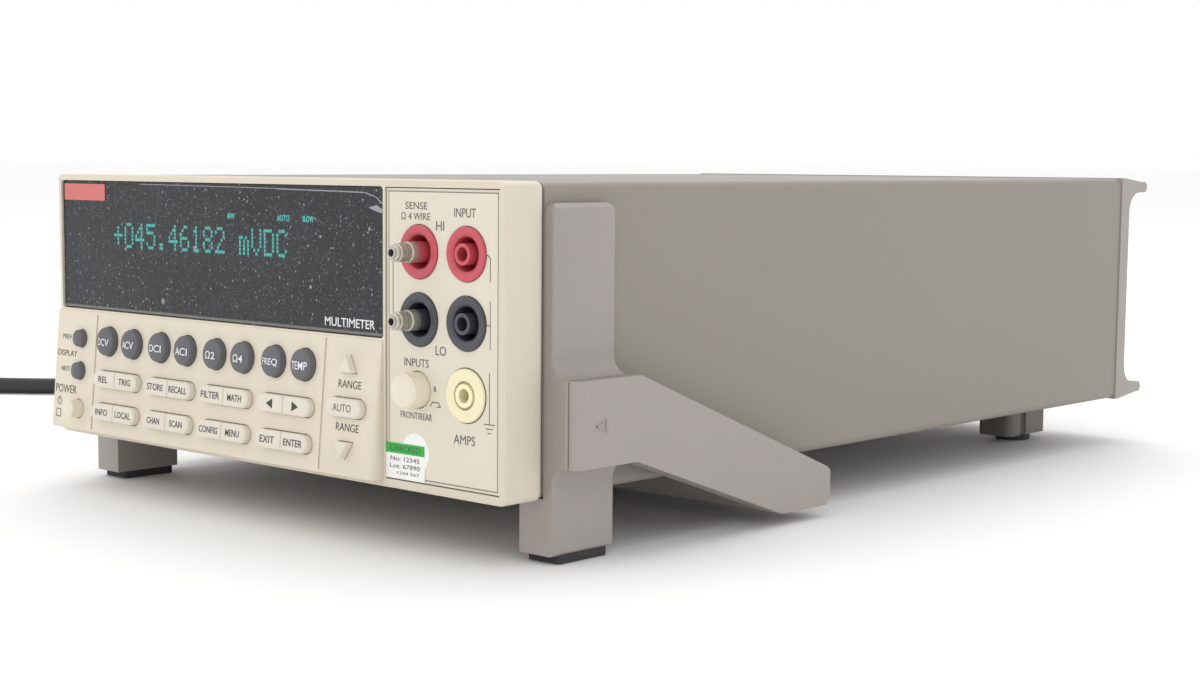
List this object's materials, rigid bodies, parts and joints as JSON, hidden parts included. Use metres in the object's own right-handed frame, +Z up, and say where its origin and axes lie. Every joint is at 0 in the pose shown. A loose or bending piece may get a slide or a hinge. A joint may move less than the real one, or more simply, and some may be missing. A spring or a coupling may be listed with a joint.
{
  "type": "bench multimeter",
  "caption": "Half-rack bench multimeter with a display window, key field, front banana jacks, swinging carrying handle, feet and a mains lead.",
  "frame": {"origin": "on the bench under the middle of the instrument, lead left out", "axes": "+X to the right of somebody who faces the display, +Y to the back, +Z up"},
  "size_m": [0.637, 0.5553, 0.106],
  "materials": {
    "bezel_plastic": "moulded, fine grain, slightly warm",
    "case_paint": "textured paint on folded steel",
    "chassis_steel": "plated, satin",
    "ear_plastic": "fine moulded grain",
    "foot_plastic": "moulded",
    "pad_rubber": "matt",
    "lens_dark": "smoked window, polished",
    "display_glass": "vacuum fluorescent tube",
    "terminal_plastic": "moulded, printed legends",
    "jack_red": "moulded",
    "jack_black": "moulded",
    "jack_cream": "moulded",
    "button_plastic": "moulded",
    "key_dark": "moulded, printed legend",
    "key_cream": "moulded, printed legend",
    "nickel": "plated, satin",
    "screw_steel": "zinc plated",
    "board": "solder resist",
    "transformer_steel": "varnished",
    "fan_plastic": "moulded",
    "black_plastic": "moulded",
    "cord_plastic": "soft vinyl"
  },
  "bodies": {
    "case": {"front_bezel": "bezel_plastic", "display_lens": "lens_dark", "display_tube": "display_glass", "front_board": "board", "terminal_panel": "terminal_plastic", "jacks_red": "jack_red", "jacks_black": "jack_black", "sense_adapters": "nickel", "case_cover": "case_paint", "chassis": "chassis_steel", "rear_bezel": "ear_plastic", "left_ear": "ear_plastic", "right_ear": "ear_plastic", "rear_feet": "foot_plastic", "foot_pads": "pad_rubber", "digital_board": "board", "analog_board": "board", "transformer": "transformer_steel", "fan_frame": "fan_plastic", "power_inlet": "black_plastic", "rear_ports": "nickel", "screws": "screw_steel", "cord_connector": "cord_plastic", "power_cord": "cord_plastic", "cord_coil": "cord_plastic", "mains_plug": "cord_plastic"},
    "handle": {"handle": "ear_plastic"},
    "fan": {"fan_rotor": "fan_plastic"},
    "amps_fuse_carrier": {"amps_fuse_carrier": "jack_cream"},
    "inputs_button": {"inputs_button": "button_plastic"},
    "power_button": {"power_button": "button_plastic"},
    "dcv_key": {"dcv_key": "key_dark"},
    "acv_key": {"acv_key": "key_dark"},
    "dci_key": {"dci_key": "key_dark"},
    "aci_key": {"aci_key": "key_dark"},
    "ohm2_key": {"ohm2_key": "key_dark"},
    "ohm4_key": {"ohm4_key": "key_dark"},
    "freq_key": {"freq_key": "key_dark"},
    "temp_key": {"temp_key": "key_dark"},
    "prev_key": {"prev_key": "key_dark"},
    "next_key": {"next_key": "key_dark"},
    "rel_key": {"rel_key": "key_cream"},
    "trig_key": {"trig_key": "key_cream"},
    "store_key": {"store_key": "key_cream"},
    "recall_key": {"recall_key": "key_cream"},
    "filter_key": {"filter_key": "key_cream"},
    "math_key": {"math_key": "key_cream"},
    "left_key": {"left_key": "key_cream"},
    "right_key": {"right_key": "key_cream"},
    "info_key": {"info_key": "key_cream"},
    "local_key": {"local_key": "key_cream"},
    "chan_key": {"chan_key": "key_cream"},
    "scan_key": {"scan_key": "key_cream"},
    "config_key": {"config_key": "key_cream"},
    "menu_key": {"menu_key": "key_cream"},
    "exit_key": {"exit_key": "key_cream"},
    "enter_key": {"enter_key": "key_cream"},
    "auto_key": {"auto_key": "key_cream"},
    "range_up_key": {"range_up_key": "key_cream"},
    "range_down_key": {"range_down_key": "key_cream"}
  },
  "joints": [
    {"name": "handle_swing", "type": "hinge", "parent": "case", "child": "handle", "pos_m": [0, -0.1505, 0.0396], "axis": [-1, 0, 0], "range_deg": [0, 255]},
    {"name": "fan_spin", "type": "hinge", "parent": "case", "child": "fan", "pos_m": [-0.072, 0.1625, 0.0765], "axis": [0, 1, 0], "continuous": true},
    {"name": "amps_fuse_turn", "type": "hinge", "parent": "case", "child": "amps_fuse_carrier", "pos_m": [0.092, -0.1785, 0.0472], "axis": [0, -1, 0], "range_deg": [0, 90]},
    {"name": "inputs_push", "type": "slide", "parent": "case", "child": "inputs_button", "axis": [0, 1, 0], "range_m": [0, 0.0045], "stiffness_N_per_m": 300, "springref_m": -0.001},
    {"name": "power_push", "type": "slide", "parent": "case", "child": "power_button", "axis": [0, 0.9962, -0.0872], "range_m": [0, 0.0028], "stiffness_N_per_m": 400, "springref_m": -0.0008},
    {"name": "dcv_press", "type": "slide", "parent": "case", "child": "dcv_key", "axis": [0, 0.9962, -0.0872], "range_m": [0, 0.0012], "stiffness_N_per_m": 700, "springref_m": -0.0005},
    {"name": "acv_press", "type": "slide", "parent": "case", "child": "acv_key", "axis": [0, 0.9962, -0.0872], "range_m": [0, 0.0012], "stiffness_N_per_m": 700, "springref_m": -0.0005},
    {"name": "dci_press", "type": "slide", "parent": "case", "child": "dci_key", "axis": [0, 0.9962, -0.0872], "range_m": [0, 0.0012], "stiffness_N_per_m": 700, "springref_m": -0.0005},
    {"name": "aci_press", "type": "slide", "parent": "case", "child": "aci_key", "axis": [0, 0.9962, -0.0872], "range_m": [0, 0.0012], "stiffness_N_per_m": 700, "springref_m": -0.0005},
    {"name": "ohm2_press", "type": "slide", "parent": "case", "child": "ohm2_key", "axis": [0, 0.9962, -0.0872], "range_m": [0, 0.0012], "stiffness_N_per_m": 700, "springref_m": -0.0005},
    {"name": "ohm4_press", "type": "slide", "parent": "case", "child": "ohm4_key", "axis": [0, 0.9962, -0.0872], "range_m": [0, 0.0012], "stiffness_N_per_m": 700, "springref_m": -0.0005},
    {"name": "freq_press", "type": "slide", "parent": "case", "child": "freq_key", "axis": [0, 0.9962, -0.0872], "range_m": [0, 0.0012], "stiffness_N_per_m": 700, "springref_m": -0.0005},
    {"name": "temp_press", "type": "slide", "parent": "case", "child": "temp_key", "axis": [0, 0.9962, -0.0872], "range_m": [0, 0.0012], "stiffness_N_per_m": 700, "springref_m": -0.0005},
    {"name": "prev_press", "type": "slide", "parent": "case", "child": "prev_key", "axis": [0, 0.9962, -0.0872], "range_m": [0, 0.0012], "stiffness_N_per_m": 700, "springref_m": -0.0005},
    {"name": "next_press", "type": "slide", "parent": "case", "child": "next_key", "axis": [0, 0.9962, -0.0872], "range_m": [0, 0.0012], "stiffness_N_per_m": 700, "springref_m": -0.0005},
    {"name": "rel_press", "type": "slide", "parent": "case", "child": "rel_key", "axis": [0, 0.9962, -0.0872], "range_m": [0, 0.0012], "stiffness_N_per_m": 700, "springref_m": -0.0005},
    {"name": "trig_press", "type": "slide", "parent": "case", "child": "trig_key", "axis": [0, 0.9962, -0.0872], "range_m": [0, 0.0012], "stiffness_N_per_m": 700, "springref_m": -0.0005},
    {"name": "store_press", "type": "slide", "parent": "case", "child": "store_key", "axis": [0, 0.9962, -0.0872], "range_m": [0, 0.0012], "stiffness_N_per_m": 700, "springref_m": -0.0005},
    {"name": "recall_press", "type": "slide", "parent": "case", "child": "recall_key", "axis": [0, 0.9962, -0.0872], "range_m": [0, 0.0012], "stiffness_N_per_m": 700, "springref_m": -0.0005},
    {"name": "filter_press", "type": "slide", "parent": "case", "child": "filter_key", "axis": [0, 0.9962, -0.0872], "range_m": [0, 0.0012], "stiffness_N_per_m": 700, "springref_m": -0.0005},
    {"name": "math_press", "type": "slide", "parent": "case", "child": "math_key", "axis": [0, 0.9962, -0.0872], "range_m": [0, 0.0012], "stiffness_N_per_m": 700, "springref_m": -0.0005},
    {"name": "left_press", "type": "slide", "parent": "case", "child": "left_key", "axis": [0, 0.9962, -0.0872], "range_m": [0, 0.0012], "stiffness_N_per_m": 700, "springref_m": -0.0005},
    {"name": "right_press", "type": "slide", "parent": "case", "child": "right_key", "axis": [0, 0.9962, -0.0872], "range_m": [0, 0.0012], "stiffness_N_per_m": 700, "springref_m": -0.0005},
    {"name": "info_press", "type": "slide", "parent": "case", "child": "info_key", "axis": [0, 0.9962, -0.0872], "range_m": [0, 0.0012], "stiffness_N_per_m": 700, "springref_m": -0.0005},
    {"name": "local_press", "type": "slide", "parent": "case", "child": "local_key", "axis": [0, 0.9962, -0.0872], "range_m": [0, 0.0012], "stiffness_N_per_m": 700, "springref_m": -0.0005},
    {"name": "chan_press", "type": "slide", "parent": "case", "child": "chan_key", "axis": [0, 0.9962, -0.0872], "range_m": [0, 0.0012], "stiffness_N_per_m": 700, "springref_m": -0.0005},
    {"name": "scan_press", "type": "slide", "parent": "case", "child": "scan_key", "axis": [0, 0.9962, -0.0872], "range_m": [0, 0.0012], "stiffness_N_per_m": 700, "springref_m": -0.0005},
    {"name": "config_press", "type": "slide", "parent": "case", "child": "config_key", "axis": [0, 0.9962, -0.0872], "range_m": [0, 0.0012], "stiffness_N_per_m": 700, "springref_m": -0.0005},
    {"name": "menu_press", "type": "slide", "parent": "case", "child": "menu_key", "axis": [0, 0.9962, -0.0872], "range_m": [0, 0.0012], "stiffness_N_per_m": 700, "springref_m": -0.0005},
    {"name": "exit_press", "type": "slide", "parent": "case", "child": "exit_key", "axis": [0, 0.9962, -0.0872], "range_m": [0, 0.0012], "stiffness_N_per_m": 700, "springref_m": -0.0005},
    {"name": "enter_press", "type": "slide", "parent": "case", "child": "enter_key", "axis": [0, 0.9962, -0.0872], "range_m": [0, 0.0012], "stiffness_N_per_m": 700, "springref_m": -0.0005},
    {"name": "auto_press", "type": "slide", "parent": "case", "child": "auto_key", "axis": [0, 0.9962, -0.0872], "range_m": [0, 0.0012], "stiffness_N_per_m": 700, "springref_m": -0.0005},
    {"name": "range_up_press", "type": "slide", "parent": "case", "child": "range_up_key", "axis": [0, 0.9962, -0.0872], "range_m": [0, 0.0012], "stiffness_N_per_m": 700, "springref_m": -0.0005},
    {"name": "range_down_press", "type": "slide", "parent": "case", "child": "range_down_key", "axis": [0, 0.9962, -0.0872], "range_m": [0, 0.0012], "stiffness_N_per_m": 700, "springref_m": -0.0005}
  ]
}
